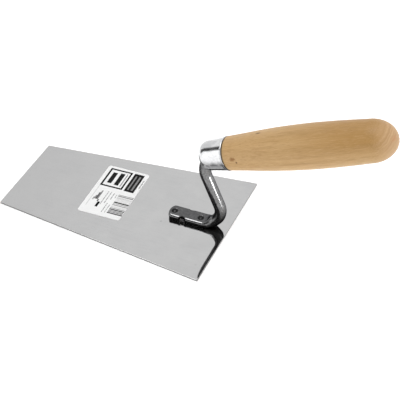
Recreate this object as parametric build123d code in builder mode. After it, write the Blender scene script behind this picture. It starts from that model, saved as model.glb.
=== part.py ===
from build123d import *
import math
import os

# Brick trowel with a trapezoid blade, a welded goose-neck tang, a pressed
# ferrule and a turned wooden handle. Millimetres, +Z up.
# Origin: centre of the blade's underside. +X runs from the toe to the handle,
# +Y is the trowel's right side for a hand that holds it toe forward.

# ---------------------------------------------------------------- dimensions
# blade
blade_length = 180.0
blade_heel_width = 120.0
blade_toe_width = 79.0
blade_thickness = 1.2

# label
label_length_x = 36.3
label_width_y = 59.5
label_thickness = 0.12
label_corner = 2.0
label_center = (-11.4, 5.9)
label_turn = 1.5

# tang: foot
foot_width = 13.3
foot_thickness = 4.85
foot_edge_radius = 2.0
foot_tip_x = 40.5
foot_tip_bulge = 2.6
foot_corner_radius = 1.3
foot_flat_end_x = 60.0
dimple_x = (44.9, 67.0)
dimple_diameter = 5.2
dimple_depth = 0.7
dimple_pip_diameter = 2.0
notch_x_left = 53.5
notch_x_right = 57.0
notch_radius = 3.4
notch_depth = 1.75

# tang: neck, described by the corners of its centre line
rod_diameter = 9.2
neck_foot_corner_x = 90.19
neck_lean = 21.46
neck_lower_radius = 14.4
neck_upper_radius = 18.96

# tang: spike in the handle
shoulder_s = -8.4
spike_start_width = 6.4
spike_end_width = 3.4
spike_end_s = 62.0

# welds
nugget_diameter = 5.0
nugget_height = 0.8
bead_half_length = 2.6
bead_half_width = 1.3
bead_height = 3.2

# handle axis: seam between ferrule and wood, and its tilt above horizontal
seam_x = 90.94
seam_z = 76.28
handle_tilt = 21.98

# ferrule profile, distance s along the handle axis from the seam
ferrule_wall = 0.8
ferrule_nose_s = -22.0
ferrule_nose_radius = 5.6
rim_width = 1.5
rim_radius = 12.9

# handle profile
tenon_front_s = -8.0
wood_chamfer = 0.5
handle_stations = [(12.0, 13.5), (25.0, 14.6), (46.0, 15.85), (69.0, 16.4),
                   (92.0, 16.0), (104.0, 15.55)]
handle_seam_radius = 12.6
butt_start_s = 111.5
butt_radius = 15.25
butt_length = 19.4

os.makedirs("parts", exist_ok=True)

# ------------------------------------------------------------ derived frames
tilt = math.radians(handle_tilt)
axis_dir = Vector(math.cos(tilt), 0, math.sin(tilt))
seam = Vector(seam_x, 0, seam_z)
handle_axis = Axis(seam, axis_dir)
# local x runs along the handle axis, local y points up and towards the toe
handle_plane = Plane(origin=seam, x_dir=axis_dir, z_dir=(0, -1, 0))


def along(s):
    """Plane square to the handle axis at distance s from the seam."""
    return Plane(origin=seam + axis_dir * s, x_dir=(0, 1, 0), z_dir=axis_dir)


def ferrule_cone(s):
    """Outer radius of the ferrule's conical stretch."""
    return 11.9 + (s + 11.0) * 0.07


def seat_radius(s):
    """Radius of the conical fit between the ferrule and the wood's tenon."""
    return ferrule_cone(s) - ferrule_wall


blade_top = blade_thickness
foot_axis_z = blade_top + foot_thickness / 2
lean = math.radians(neck_lean)
neck_dir = Vector(-math.sin(lean), 0, math.cos(lean))
corner_low = Vector(neck_foot_corner_x, 0, foot_axis_z)
# the neck's centre line meets the handle axis at corner_high
det = neck_dir.X * -axis_dir.Z + neck_dir.Z * axis_dir.X
gap = seam - corner_low
reach = (gap.X * -axis_dir.Z + gap.Z * axis_dir.X) / det
corner_high = corner_low + neck_dir * reach
shoulder = seam + axis_dir * shoulder_s

with BuildLine(Plane.XZ) as neck_path:
    FilletPolyline(
        (foot_flat_end_x, foot_axis_z),
        (corner_low.X, corner_low.Z),
        (corner_high.X, corner_high.Z),
        (shoulder.X, shoulder.Z),
        radius=[neck_lower_radius, neck_upper_radius],
    )
arcs = sorted(neck_path.edges().filter_by(GeomType.CIRCLE), key=lambda e: e.center().Z)
lower_arc, upper_arc = arcs
if (lower_arc @ 0).X > (lower_arc @ 1).X:
    lower_arc = lower_arc.reversed()
bend_start = lower_arc @ 0
bend_end = lower_arc @ 1
upper_low = min((upper_arc @ 0, upper_arc @ 1), key=lambda v: v.Z)
upper_high = max((upper_arc @ 0, upper_arc @ 1), key=lambda v: v.Z)
upper_mid = upper_arc @ 0.5


def across(point, direction):
    """Section plane square to the neck at a point of its centre line."""
    return Plane(origin=point, x_dir=(0, 1, 0), z_dir=direction)


# --------------------------------------------------------------------- blade
with BuildPart() as blade:
    with BuildSketch(Plane.XY) as blade_outline:
        with BuildLine():
            Polyline(
                (-blade_length / 2, -blade_toe_width / 2),
                (blade_length / 2, -blade_heel_width / 2),
                (blade_length / 2, blade_heel_width / 2),
                (-blade_length / 2, blade_toe_width / 2),
                close=True,
            )
        make_face()
    extrude(amount=blade_thickness)
    # seats of the two weld nuggets
    with BuildSketch(Plane.XY.offset(blade_top)):
        with Locations(*[(x, 0) for x in dimple_x]):
            Circle(nugget_diameter / 2)
    extrude(amount=-nugget_height / 2, mode=Mode.SUBTRACT)
blade.part.label = "blade"

# ---------------------------------------------------------------------- tang
with BuildPart() as tang:
    # flat foot, an oblong bar with rounded long edges
    with BuildSketch(across(Vector(foot_flat_end_x, 0, foot_axis_z), (-1, 0, 0))):
        RectangleRounded(foot_width, foot_thickness, foot_edge_radius)
    extrude(amount=foot_flat_end_x - foot_tip_x)
    # tip of the foot, gently rounded in plan
    with BuildSketch(Plane.XY) as tip_plan:
        with BuildLine():
            half = foot_width / 2 + 0.5
            tip_corner = foot_tip_x + foot_tip_bulge
            ThreePointArc((tip_corner, half), (foot_tip_x, 0), (tip_corner, -half))
            Polyline(
                (tip_corner, -half),
                (foot_flat_end_x, -half),
                (foot_flat_end_x, half),
                (tip_corner, half),
            )
        make_face()
        fillet(tip_plan.vertices().group_by(Axis.X)[0], foot_corner_radius)
    extrude(amount=foot_axis_z + foot_thickness, mode=Mode.INTERSECT)
    # the foot swells into the round neck through the lower bend
    with BuildSketch(across(Vector(foot_flat_end_x, 0, foot_axis_z), (1, 0, 0))):
        RectangleRounded(foot_width, foot_thickness, foot_edge_radius)
    with BuildSketch(across(bend_start, lower_arc % 0)):
        RectangleRounded(foot_width - 0.6, foot_thickness + 0.2, foot_edge_radius + 0.1)
    with BuildSketch(across(lower_arc @ 0.3, lower_arc % 0.3)):
        RectangleRounded(11.0, 7.3, 3.3)
    with BuildSketch(across(lower_arc @ 0.58, lower_arc % 0.58)):
        RectangleRounded(9.7, 8.9, 4.2)
    with BuildSketch(across(bend_end, lower_arc % 1)):
        with BuildLine():
            r = rod_diameter / 2
            for start, size in [(10, 70), (80, 20), (100, 70), (170, 20),
                                (190, 70), (260, 20), (280, 70), (350, 20)]:
                CenterArc((0, 0), r, start, size)
        make_face()
    loft()
    # round neck and upper bend, as far as the shoulder
    with BuildLine(Plane.XZ) as rod_path:
        Line((bend_end.X, bend_end.Z), (upper_low.X, upper_low.Z))
        ThreePointArc(
            (upper_low.X, upper_low.Z),
            (upper_mid.X, upper_mid.Z),
            (upper_high.X, upper_high.Z),
        )
        Line((upper_high.X, upper_high.Z), (shoulder.X, shoulder.Z))
    with BuildSketch(across(bend_end, neck_dir)):
        Circle(rod_diameter / 2)
    sweep(path=rod_path.line)
    # square spike that is driven into the handle
    with BuildSketch(along(shoulder_s)):
        Rectangle(spike_start_width, spike_start_width)
    with BuildSketch(along(spike_end_s)):
        Rectangle(spike_end_width, spike_end_width)
    loft()
    # electrode dimples of the resistance welds, each with a raised middle
    with BuildSketch(Plane.XY.offset(blade_top + foot_thickness)):
        with Locations(*[(x, 0) for x in dimple_x]):
            Circle(dimple_diameter / 2)
            Circle(dimple_pip_diameter / 2, mode=Mode.SUBTRACT)
    extrude(amount=-dimple_depth, taper=12, mode=Mode.SUBTRACT)
    # side notches of the tack welds
    with BuildSketch(Plane.XY.offset(blade_top)):
        reach_y = foot_width / 2 + notch_radius - notch_depth
        with Locations((notch_x_left, -reach_y), (notch_x_right, reach_y)):
            Circle(notch_radius)
    extrude(amount=foot_thickness + 1, mode=Mode.SUBTRACT)
    # flat underside that lies on the blade
    with BuildSketch(Plane.XY.offset(blade_top)):
        with Locations((foot_tip_x + 25, 0)):
            Rectangle(70, 30)
    extrude(amount=-3, mode=Mode.SUBTRACT)
    # underside seats of the two weld nuggets
    with BuildSketch(Plane.XY.offset(blade_top)):
        with Locations(*[(x, 0) for x in dimple_x]):
            Circle(nugget_diameter / 2)
    extrude(amount=nugget_height / 2, mode=Mode.SUBTRACT)
tang.part.label = "tang"

# ------------------------------------------------------------- weld nuggets
with BuildPart() as spot_weld_front:
    with BuildSketch(Plane.XY.offset(blade_top - nugget_height / 2)):
        with Locations((dimple_x[0], 0)):
            Circle(nugget_diameter / 2)
    extrude(amount=nugget_height)
spot_weld_front.part.label = "spot_weld_front"

with BuildPart() as spot_weld_rear:
    with BuildSketch(Plane.XY.offset(blade_top - nugget_height / 2)):
        with Locations((dimple_x[1], 0)):
            Circle(nugget_diameter / 2)
    extrude(amount=nugget_height)
spot_weld_rear.part.label = "spot_weld_rear"

# ---------------------------------------------------------------- tack welds
bead_y = foot_width / 2 - 0.55

with BuildPart() as tack_weld_left:
    with BuildSketch(Plane.XY.offset(blade_top)):
        with Locations((notch_x_left, -bead_y)):
            Ellipse(bead_half_length, bead_half_width)
    extrude(amount=bead_height, taper=14)
    add(tang.part, mode=Mode.SUBTRACT)
tack_weld_left.part.label = "tack_weld_left"

with BuildPart() as tack_weld_right:
    with BuildSketch(Plane.XY.offset(blade_top)):
        with Locations((notch_x_right, bead_y)):
            Ellipse(bead_half_length, bead_half_width)
    extrude(amount=bead_height, taper=14)
    add(tang.part, mode=Mode.SUBTRACT)
tack_weld_right.part.label = "tack_weld_right"

# ------------------------------------------------------------------- ferrule
# thin pressed cap: outer and inner outline turned about the handle axis
with BuildPart() as ferrule:
    with BuildSketch(handle_plane):
        with BuildLine():
            # outside: flat nose, two arcs, cone, rolled rim
            Line((ferrule_nose_s, 0), (ferrule_nose_s, ferrule_nose_radius))
            ThreePointArc((ferrule_nose_s, ferrule_nose_radius), (-20.8, 8.6), (-18.2, 10.65))
            ThreePointArc((-18.2, 10.65), (-15.0, 11.48), (-11.0, 11.9))
            Polyline(
                (-11.0, 11.9),
                (-rim_width - 0.3, ferrule_cone(-rim_width - 0.3)),
                (-rim_width, ferrule_cone(-rim_width) - 0.15),
                (-rim_width, rim_radius - 0.25),
                (-rim_width + 0.25, rim_radius),
                (-0.45, rim_radius),
                (-0.2, rim_radius - 0.25),
                (-0.2, seat_radius(-0.2)),
                (-11.0, seat_radius(-11.0)),
                (-15.0, 10.65),
                (-17.6, 9.8),
                (-19.6, 8.15),
                (-20.8, 6.1),
                (-21.2, 4.8),
                (-21.2, 0),
                (ferrule_nose_s, 0),
            )
        make_face()
    revolve(axis=handle_axis)
    # slot in the nose through which the bent neck enters, with clearance
    with BuildLine(Plane.XZ) as slot_path:
        Line((bend_end.X, bend_end.Z), (upper_low.X, upper_low.Z))
        ThreePointArc(
            (upper_low.X, upper_low.Z),
            (upper_mid.X, upper_mid.Z),
            (upper_high.X, upper_high.Z),
        )
    with BuildSketch(across(bend_end, neck_dir)):
        Circle(rod_diameter / 2 + 0.3)
    sweep(path=slot_path.line, mode=Mode.SUBTRACT)
ferrule.part.label = "ferrule"

# -------------------------------------------------------------------- handle
with BuildPart() as handle:
    with BuildSketch(handle_plane):
        with BuildLine():
            Polyline(
                (tenon_front_s, 0),
                (tenon_front_s, seat_radius(tenon_front_s) - 0.6),
                (tenon_front_s + 0.6, seat_radius(tenon_front_s + 0.6)),
                (0, seat_radius(0)),
                (0, handle_seam_radius - wood_chamfer),
                (wood_chamfer, handle_seam_radius + 0.04),
            )
            grip = Spline(
                (wood_chamfer, handle_seam_radius + 0.04),
                *handle_stations,
                (butt_start_s, butt_radius),
                tangents=[(1, 0.085), (1, 0)],
            )
            # rounded butt, a little longer than a half ball
            butt_end_s = butt_start_s + butt_length
            EllipticalCenterArc(
                (butt_start_s, 0), butt_length, butt_radius, start_angle=0, arc_size=90
            )
            Line((butt_end_s, 0), (tenon_front_s, 0))
        make_face()
    revolve(axis=handle_axis)
    # bore burnt and driven to the spike's own shape
    with BuildSketch(along(shoulder_s)):
        Rectangle(spike_start_width, spike_start_width)
    with BuildSketch(along(spike_end_s)):
        Rectangle(spike_end_width, spike_end_width)
    loft(mode=Mode.SUBTRACT)
handle.part.label = "handle"

# --------------------------------------------------------------------- label
with BuildPart() as label:
    with BuildSketch(Plane.XY.offset(blade_top)):
        with Locations(Location((label_center[0], label_center[1], 0), (0, 0, label_turn))):
            RectangleRounded(label_length_x, label_width_y, label_corner)
    extrude(amount=label_thickness)
label.part.label = "label"

# -------------------------------------------------------------------- export
export_step(blade.part, "parts/blade.step")
export_step(tang.part, "parts/tang.step")
export_step(spot_weld_front.part, "parts/spot_weld_front.step")
export_step(spot_weld_rear.part, "parts/spot_weld_rear.step")
export_step(tack_weld_right.part, "parts/tack_weld_right.step")
export_step(tack_weld_left.part, "parts/tack_weld_left.step")
export_step(ferrule.part, "parts/ferrule.step")
export_step(handle.part, "parts/handle.step")
export_step(label.part, "parts/label.step")

for piece in (blade, tang, spot_weld_front, spot_weld_rear, tack_weld_right,
              tack_weld_left, ferrule, handle, label):
    print(piece.part.label, len(piece.part.solids()), round(piece.part.volume, 1),
          piece.part.bounding_box())
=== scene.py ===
import math

import bmesh
import bpy
import numpy as np
from mathutils import Matrix, Vector, noise


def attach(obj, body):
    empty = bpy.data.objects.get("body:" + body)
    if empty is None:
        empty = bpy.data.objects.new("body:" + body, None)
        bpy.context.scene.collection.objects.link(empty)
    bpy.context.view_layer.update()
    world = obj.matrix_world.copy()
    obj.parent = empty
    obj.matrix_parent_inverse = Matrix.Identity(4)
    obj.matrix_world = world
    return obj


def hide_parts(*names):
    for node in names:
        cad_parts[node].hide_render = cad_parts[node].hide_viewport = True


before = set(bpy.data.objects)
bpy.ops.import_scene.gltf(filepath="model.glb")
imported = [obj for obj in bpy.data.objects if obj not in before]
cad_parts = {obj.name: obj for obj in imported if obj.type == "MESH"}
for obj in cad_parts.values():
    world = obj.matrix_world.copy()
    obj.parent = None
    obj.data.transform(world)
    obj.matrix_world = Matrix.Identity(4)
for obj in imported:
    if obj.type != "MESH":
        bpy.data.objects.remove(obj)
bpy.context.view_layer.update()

scene = bpy.context.scene
MM = 0.001

# --------------------------------------------------------------------------
# dimensions of the part, in millimetres, as in the CAD model
BLADE_T = 1.2
HALF_L = 90.0
HEEL_W, TOE_W = 120.0, 79.0
TILT = math.radians(21.98)
SEAM = np.array([90.94, 0.0, 76.28])
AX = np.array([math.cos(TILT), 0.0, math.sin(TILT)])      # along the handle
NUP = np.array([-math.sin(TILT), 0.0, math.cos(TILT)])    # square to it, upwards
YY = np.array([0.0, 1.0, 0.0])
FOOT_Z = BLADE_T + 4.85 / 2
LEAN = math.radians(21.46)
NECK = np.array([-math.sin(LEAN), 0.0, math.cos(LEAN)])
R_LOW, R_UP, ROD = 14.4, 18.96, 4.6
DIMPLES = (44.9, 67.0)
NOTCH_L, NOTCH_R = 53.5, 57.0


def smooth(a, b, x):
    t = np.clip((np.asarray(x, float) - a) / (b - a), 0.0, 1.0)
    return t * t * (3 - 2 * t)


def nz(p, scale, seed=0.0):
    """Repeatable noise, about -1 to 1, at a point in millimetres."""
    return noise.noise(Vector((p[0] / scale + seed, p[1] / scale - seed, p[2] / scale + 2.3 * seed)))


def make(name, verts, faces, sharp=32.0, body="root"):
    me = bpy.data.meshes.new(name)
    me.from_pydata([tuple(float(c) * MM for c in v) for v in verts], [], faces)
    me.validate()
    bm = bmesh.new()
    bm.from_mesh(me)
    bmesh.ops.recalc_face_normals(bm, faces=bm.faces)
    bm.to_mesh(me)
    bm.free()
    for p in me.polygons:
        p.use_smooth = True
    me.set_sharp_from_angle(angle=math.radians(sharp))
    ob = bpy.data.objects.new(name, me)
    scene.collection.objects.link(ob)
    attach(ob, body)
    return ob


def rings_to_mesh(rings, cap_start=True, cap_end=True):
    """Faces between closed rings of equally many points; ends closed to a centre point."""
    n = len(rings[0])
    verts = [p for r in rings for p in r]
    faces = []
    for i in range(len(rings) - 1):
        for j in range(n):
            a, b = i * n + j, i * n + (j + 1) % n
            faces.append((a, b, b + n, a + n))
    if cap_start:
        verts.append(np.mean(np.array(rings[0]), axis=0))
        c = len(verts) - 1
        faces += [((j + 1) % n, j, c) for j in range(n)]
    if cap_end:
        verts.append(np.mean(np.array(rings[-1]), axis=0))
        c = len(verts) - 1
        o = (len(rings) - 1) * n
        faces += [(o + j, o + (j + 1) % n, c) for j in range(n)]
    return verts, faces


def point_attribute(ob, name, values):
    a = ob.data.attributes.new(name, "FLOAT", "POINT")
    a.data.foreach_set("value", np.asarray(values, np.float32))


def hermite(xs, ys, m0, m1, x):
    """Cubic spline through stations with the two end slopes given."""
    xs, ys = np.asarray(xs, float), np.asarray(ys, float)
    n = len(xs)
    h = np.diff(xs)
    A, b = np.zeros((n, n)), np.zeros(n)
    A[0, 0], b[0] = 1, m0
    A[-1, -1], b[-1] = 1, m1
    for i in range(1, n - 1):
        A[i, i - 1], A[i, i], A[i, i + 1] = 1 / h[i - 1], 2 * (1 / h[i - 1] + 1 / h[i]), 1 / h[i]
        b[i] = 3 * ((ys[i] - ys[i - 1]) / h[i - 1] ** 2 + (ys[i + 1] - ys[i]) / h[i] ** 2)
    m = np.linalg.solve(A, b)
    x = np.atleast_1d(x)
    k = np.clip(np.searchsorted(xs, x) - 1, 0, n - 2)
    t = (x - xs[k]) / h[k]
    return ((2 * t**3 - 3 * t**2 + 1) * ys[k] + (t**3 - 2 * t**2 + t) * h[k] * m[k]
            + (-2 * t**3 + 3 * t**2) * ys[k + 1] + (t**3 - t**2) * h[k] * m[k + 1])


# --------------------------------------------------------------------------
# node helpers
class Mat:
    def __init__(self, name):
        self.m = bpy.data.materials.new(name)
        self.m.use_nodes = True
        self.t = self.m.node_tree
        self.t.nodes.clear()
        self.out = self.n("ShaderNodeOutputMaterial")
        self.b = self.n("ShaderNodeBsdfPrincipled")
        self.t.links.new(self.b.outputs[0], self.out.inputs[0])

    def n(self, kind, **props):
        node = self.t.nodes.new(kind)
        for k, v in props.items():
            setattr(node, k, v)
        return node

    def put(self, socket, value):
        if isinstance(value, bpy.types.NodeSocket):
            self.t.links.new(value, socket)
        elif value is not None:
            socket.default_value = value

    def coords(self, scale=(1, 1, 1), rot=(0, 0, 0), loc=(0, 0, 0)):
        """Object coordinates in millimetres, turned and scaled."""
        tc = self.n("ShaderNodeTexCoord")
        mp = self.n("ShaderNodeMapping")
        mp.vector_type = "POINT"
        mp.inputs["Location"].default_value = loc
        mp.inputs["Rotation"].default_value = rot
        mp.inputs["Scale"].default_value = [1000.0 * s for s in scale]
        self.t.links.new(tc.outputs["Object"], mp.inputs["Vector"])
        return mp.outputs["Vector"]

    def noise(self, vec, scale, detail=3.0, rough=0.55, distort=0.0, colour=False):
        k = self.n("ShaderNodeTexNoise")
        self.put(k.inputs["Vector"], vec)
        k.inputs["Scale"].default_value = scale
        k.inputs["Detail"].default_value = detail
        k.inputs["Roughness"].default_value = rough
        k.inputs["Distortion"].default_value = distort
        return k.outputs["Color" if colour else "Fac"]

    def voronoi(self, vec, scale, feature="F1", rand=1.0, out="Distance"):
        k = self.n("ShaderNodeTexVoronoi", feature=feature)
        self.put(k.inputs["Vector"], vec)
        k.inputs["Scale"].default_value = scale
        k.inputs["Randomness"].default_value = rand
        return k.outputs[out]

    def ramp(self, fac, stops, interp="LINEAR"):
        k = self.n("ShaderNodeValToRGB")
        k.color_ramp.interpolation = interp
        e = k.color_ramp.elements
        while len(e) > 1:
            e.remove(e[-1])
        for i, (pos, col) in enumerate(stops):
            if not isinstance(col, (tuple, list)):
                col = (col, col, col)
            el = e[0] if i == 0 else e.new(pos)
            el.position = pos
            el.color = (*col[:3], 1.0)
        self.put(k.inputs["Fac"], fac)
        return k.outputs["Color"]

    def range(self, v, a, b, c=0.0, d=1.0, smooth=True):
        k = self.n("ShaderNodeMapRange")
        k.interpolation_type = "SMOOTHSTEP" if smooth else "LINEAR"
        k.clamp = True if not smooth else k.clamp
        self.put(k.inputs["Value"], v)
        for nm, x in (("From Min", a), ("From Max", b), ("To Min", c), ("To Max", d)):
            k.inputs[nm].default_value = x
        return k.outputs["Result"]

    def math(self, op, a, b=None, c=None):
        k = self.n("ShaderNodeMath", operation=op)
        for i, v in enumerate((a, b, c)):
            if v is not None:
                self.put(k.inputs[i], v)
        return k.outputs[0]

    def mix(self, fac, a, b, mode="MIX"):
        k = self.n("ShaderNodeMix", data_type="RGBA", blend_type=mode)
        self.put(k.inputs[0], fac)
        for i, v in ((6, a), (7, b)):
            if isinstance(v, (tuple, list)):
                v = (*v[:3], 1.0)
            elif isinstance(v, (int, float)):
                v = (v, v, v, 1.0)
            self.put(k.inputs[i], v)
        return k.outputs[2]

    def attr(self, name):
        k = self.n("ShaderNodeAttribute", attribute_type="GEOMETRY", attribute_name=name)
        return k.outputs["Fac"]

    def bump(self, height, strength, dist_mm, normal=None):
        k = self.n("ShaderNodeBump")
        k.inputs["Strength"].default_value = strength
        k.inputs["Distance"].default_value = dist_mm * MM
        self.put(k.inputs["Height"], height)
        if normal is not None:
            self.put(k.inputs["Normal"], normal)
        return k.outputs["Normal"]

    def xyz(self, vec):
        k = self.n("ShaderNodeSeparateXYZ")
        self.put(k.inputs[0], vec)
        return k.outputs

    def dist(self, vec, point, stretch=(1, 1, 1)):
        """Distance in millimetres from a point of the object."""
        s = self.n("ShaderNodeVectorMath", operation="SUBTRACT")
        self.put(s.inputs[0], vec)
        s.inputs[1].default_value = point
        q = self.n("ShaderNodeVectorMath", operation="MULTIPLY")
        self.t.links.new(s.outputs[0], q.inputs[0])
        q.inputs[1].default_value = stretch
        k = self.n("ShaderNodeVectorMath", operation="LENGTH")
        self.t.links.new(q.outputs[0], k.inputs[0])
        return k.outputs["Value"]


# --------------------------------------------------------------------------
# camera
def make_camera():
    az, el, roll = math.radians(24.50), math.radians(40.62), math.radians(-1.25)
    back = Vector((math.sin(az) * math.cos(el), -math.cos(az) * math.cos(el), math.sin(el)))
    target = Vector((-34.35 + 90.0, 23.72, 1.2))
    loc = (target + back * 917.73) * MM
    right = (-back).cross(Vector((0, 0, 1))).normalized()
    up = right.cross(-back)
    r2 = right * math.cos(roll) + up * math.sin(roll)
    u2 = up * math.cos(roll) - right * math.sin(roll)
    data = bpy.data.cameras.new("camera")
    data.sensor_width = 36.0
    data.lens = 36.0 * 1159.82 / 400.0
    data.shift_y = -0.00025
    data.clip_start, data.clip_end = 0.05, 50.0
    cam = bpy.data.objects.new("camera", data)
    m = Matrix((r2, u2, back)).transposed().to_4x4()
    m.translation = loc
    cam.matrix_world = m
    scene.collection.objects.link(cam)
    scene.camera = cam


make_camera()


# --------------------------------------------------------------------------
# materials
def blade_steel():
    m = Mat("blade_steel")
    v = m.coords()
    roll = m.coords(scale=(0.05, 1.0, 1.0))
    mott = m.noise(v, 0.045, 4.0, 0.6)
    grain = m.noise(v, 1.6, 3.0, 0.7)
    lines = m.noise(roll, 1.1, 2.0, 0.6)
    fine = m.noise(roll, 4.5, 2.0, 0.6)
    col = m.ramp(mott, [(0.32, (0.512, 0.513, 0.515)), (0.5, (0.535, 0.535, 0.536)), (0.68, (0.558, 0.558, 0.557))])
    col = m.mix(m.range(grain, 0.35, 0.65, 0.0, 0.5), col, m.mix(0.5, col, (0.50, 0.50, 0.50), "MIX"))
    col = m.mix(m.range(lines, 0.35, 0.7, 0.0, 0.35), col, (0.56, 0.56, 0.56))
    # a slightly duller toe
    x = m.xyz(v)[0]
    col = m.mix(m.range(x, -95.0, 20.0, 0.62, 0.0), col, (0.475, 0.475, 0.476))
    # small stains
    spots = m.voronoi(v, 0.085)
    keep = m.noise(v, 0.03, 1.0)
    spot = m.math("MULTIPLY", m.range(spots, 0.05, 0.11, 1.0, 0.0), m.range(keep, 0.5, 0.6))
    col = m.mix(m.math("MULTIPLY", spot, 0.28), col, (0.33, 0.33, 0.33))
    # heat tint of the two resistance welds on the underside
    z = m.xyz(v)[2]
    under = m.range(z, 0.25, 0.6, 1.0, 0.0)
    for xd in DIMPLES:
        d = m.dist(v, (xd, 0.0, 0.0))
        wob = m.math("ADD", d, m.math("MULTIPLY", m.noise(v, 0.5, 2.0), 1.6))
        ring = m.ramp(m.range(wob, 0.0, 9.0, 0.0, 1.0, smooth=False),
                      [(0.0, 0.35), (0.3, 0.75), (0.42, 0.95), (0.55, 0.5), (0.7, 0.15), (1.0, 0.0)])
        k = m.math("MULTIPLY", ring, under)
        col = m.mix(m.math("MULTIPLY", k, 0.75), col, (0.22, 0.17, 0.13))
        blue = m.math("MULTIPLY", m.math("MULTIPLY", m.range(wob, 4.4, 5.4), m.range(wob, 5.8, 7.2, 1.0, 0.0)), under)
        col = m.mix(m.math("MULTIPLY", blue, 0.4), col, (0.20, 0.24, 0.36))
    m.put(m.b.inputs["Base Color"], col)
    m.b.inputs["Metallic"].default_value = 1.0
    rough = m.math("ADD", m.range(grain, 0.3, 0.7, 0.040, 0.070), m.math("MULTIPLY", m.range(lines, 0.3, 0.7), 0.015))
    m.put(m.b.inputs["Roughness"], rough)
    # long shallow scratches
    scr = m.voronoi(m.coords(scale=(0.012, 0.5, 1.0), rot=(0, 0, 0.05)), 0.9, "DISTANCE_TO_EDGE")
    h = m.math("ADD", m.math("MULTIPLY", fine, 0.5), m.range(scr, 0.0, 0.02, -0.6, 0.0))
    h = m.math("ADD", h, m.math("MULTIPLY", grain, 0.6))
    m.put(m.b.inputs["Normal"], m.bump(h, 0.05, 0.01))
    return m.m


def blade_edge():
    """Sheared and ground side faces of the sheet: dull, with fine upright lines."""
    m = Mat("blade_edge")
    v = m.coords()
    g = m.noise(m.coords(scale=(1.0, 1.0, 0.15)), 3.2, 3.0, 0.65)
    col = m.ramp(g, [(0.3, (0.13, 0.13, 0.13)), (0.7, (0.24, 0.24, 0.24))])
    m.put(m.b.inputs["Base Color"], m.mix(m.noise(v, 0.2, 2.0), col, (0.19, 0.185, 0.18)))
    m.b.inputs["Metallic"].default_value = 1.0
    m.put(m.b.inputs["Roughness"], m.range(g, 0.3, 0.7, 0.36, 0.52))
    m.put(m.b.inputs["Normal"], m.bump(g, 0.35, 0.03))
    return m.m


def tang_steel():
    m = Mat("tang_steel")
    v = m.coords()
    tint = m.attr("tint")
    polish = m.attr("polish")
    scale_n = m.noise(v, 0.55, 5.0, 0.62)
    blot = m.noise(v, 0.16, 3.0, 0.6)
    pits = m.voronoi(v, 1.5)
    pitk = m.math("MULTIPLY", m.range(pits, 0.08, 0.30, 1.0, 0.0), m.range(m.noise(v, 0.5, 2.0), 0.47, 0.6))
    matt = m.math("SUBTRACT", 1.0, polish)
    col = m.ramp(scale_n, [(0.25, (0.082, 0.082, 0.084)), (0.5, (0.125, 0.125, 0.127)), (0.75, (0.178, 0.178, 0.180))])
    col = m.mix(m.range(blot, 0.35, 0.65, 0.0, 0.40), col, (0.095, 0.095, 0.098))
    worn = m.ramp(m.noise(v, 0.75, 4.0, 0.65), [(0.3, (0.105, 0.105, 0.107)), (0.5, (0.195, 0.195, 0.197)), (0.68, (0.31, 0.31, 0.312))])
    col = m.mix(m.math("MULTIPLY", polish, 0.75), col, worn)
    col = m.mix(m.math("MULTIPLY", m.math("MULTIPLY", pitk, 0.7), m.math("ADD", m.math("MULTIPLY", matt, 0.6), 0.4)), col, (0.03, 0.03, 0.03))
    # tint darkens the notch walls and the dimple rings, and is also painted shade on the downward faces of the lower
    # bend and on the lower sides of the foot
    col = m.mix(tint, col, (0.010, 0.010, 0.010))
    m.put(m.b.inputs["Base Color"], col)
    m.b.inputs["Metallic"].default_value = 1.0
    m.put(m.b.inputs["Specular Tint"], (0.30, 0.30, 0.31, 1.0))
    r = m.math("ADD", m.range(scale_n, 0.3, 0.7, 0.20, 0.27), m.math("MULTIPLY", pitk, 0.12))
    r = m.math("SUBTRACT", r, m.math("MULTIPLY", polish, 0.06))
    m.put(m.b.inputs["Roughness"], m.math("ADD", r, m.math("MULTIPLY", tint, 0.15)))
    h = m.math("ADD", m.math("MULTIPLY", scale_n, 0.8), m.math("MULTIPLY", pitk, -1.0))
    h = m.math("MULTIPLY", h, m.math("ADD", m.math("MULTIPLY", matt, 0.8), 0.2))
    m.put(m.b.inputs["Normal"], m.bump(h, 0.16, 0.035))
    return m.m


def weld_steel():
    m = Mat("weld_steel")
    v = m.coords()
    n1 = m.noise(v, 0.8, 4.0, 0.6)
    n2 = m.noise(v, 0.3, 2.0)
    col = m.ramp(n1, [(0.3, (0.02, 0.02, 0.022)), (0.55, (0.07, 0.068, 0.066)), (0.75, (0.20, 0.19, 0.18))])
    col = m.mix(m.range(n2, 0.5, 0.7, 0.0, 0.35), col, (0.05, 0.045, 0.07))
    m.put(m.b.inputs["Base Color"], col)
    m.b.inputs["Metallic"].default_value = 1.0
    m.put(m.b.inputs["Roughness"], m.range(n1, 0.3, 0.7, 0.32, 0.16))
    m.put(m.b.inputs["Normal"], m.bump(n1, 0.4, 0.06))
    return m.m


def axis_frame(m, scale=(1, 1, 1)):
    """Coordinates in millimetres from the seam: along the handle, across it, upwards."""
    loc = (-(SEAM[0] * math.cos(TILT) + SEAM[2] * math.sin(TILT)) * scale[0], 0.0,
           -(-SEAM[0] * math.sin(TILT) + SEAM[2] * math.cos(TILT)) * scale[2])
    v = m.coords(rot=(0.0, TILT, 0.0), loc=tuple(-c for c in (0.0, 0.0, 0.0)))
    a = m.n("ShaderNodeVectorMath", operation="MULTIPLY_ADD")
    m.put(a.inputs[0], v)
    a.inputs[1].default_value = scale
    a.inputs[2].default_value = loc
    return a.outputs[0]


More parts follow.
